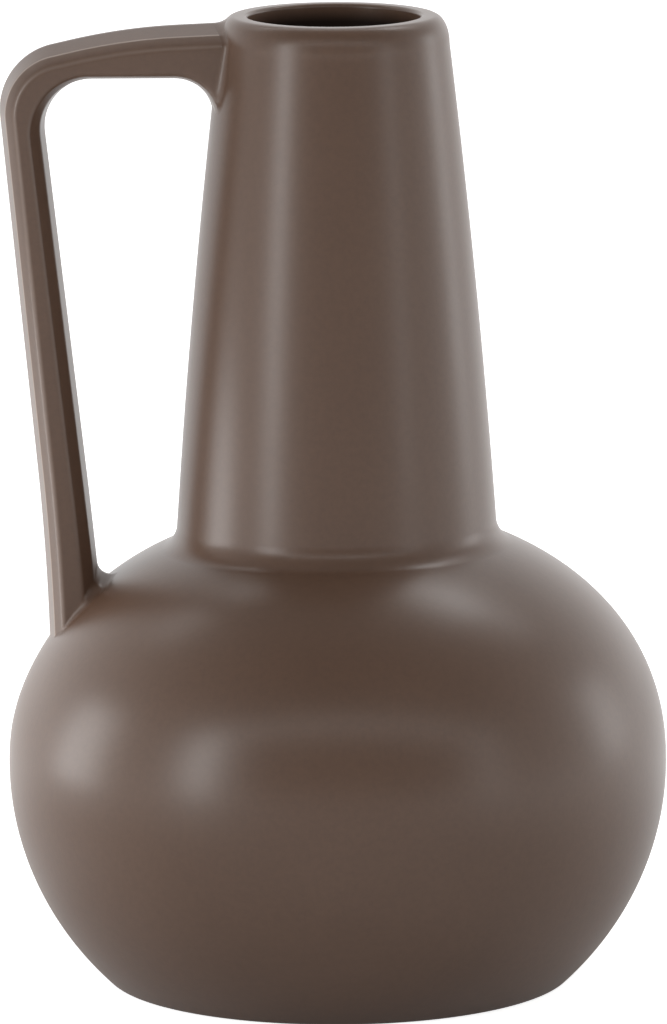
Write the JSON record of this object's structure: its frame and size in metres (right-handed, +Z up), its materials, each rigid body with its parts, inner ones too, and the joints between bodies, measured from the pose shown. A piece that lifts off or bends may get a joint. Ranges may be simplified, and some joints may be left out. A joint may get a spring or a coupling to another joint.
{
  "type": "handled jug vase",
  "caption": "Squat round ceramic jug vase with a long tapering neck, a rounded lip and an angular strap handle from neck to shoulder, in satin brown glaze.",
  "frame": {"origin": "centre of the foot, on the plane that the vase stands on", "axes": "+Z up along the axis of the pot; the handle is on the -X side; Y is across the handle"},
  "size_m": [0.1667, 0.166, 0.245],
  "materials": {
    "brown_glaze": "satin brown glaze with a fine eggshell surface"
  },
  "bodies": {
    "root": {"base": "brown_glaze", "globe": "brown_glaze", "neck": "brown_glaze", "neck_lute": "brown_glaze", "handle": "brown_glaze", "handle_top_lute": "brown_glaze", "handle_foot_lute": "brown_glaze"}
  },
  "joints": []
}
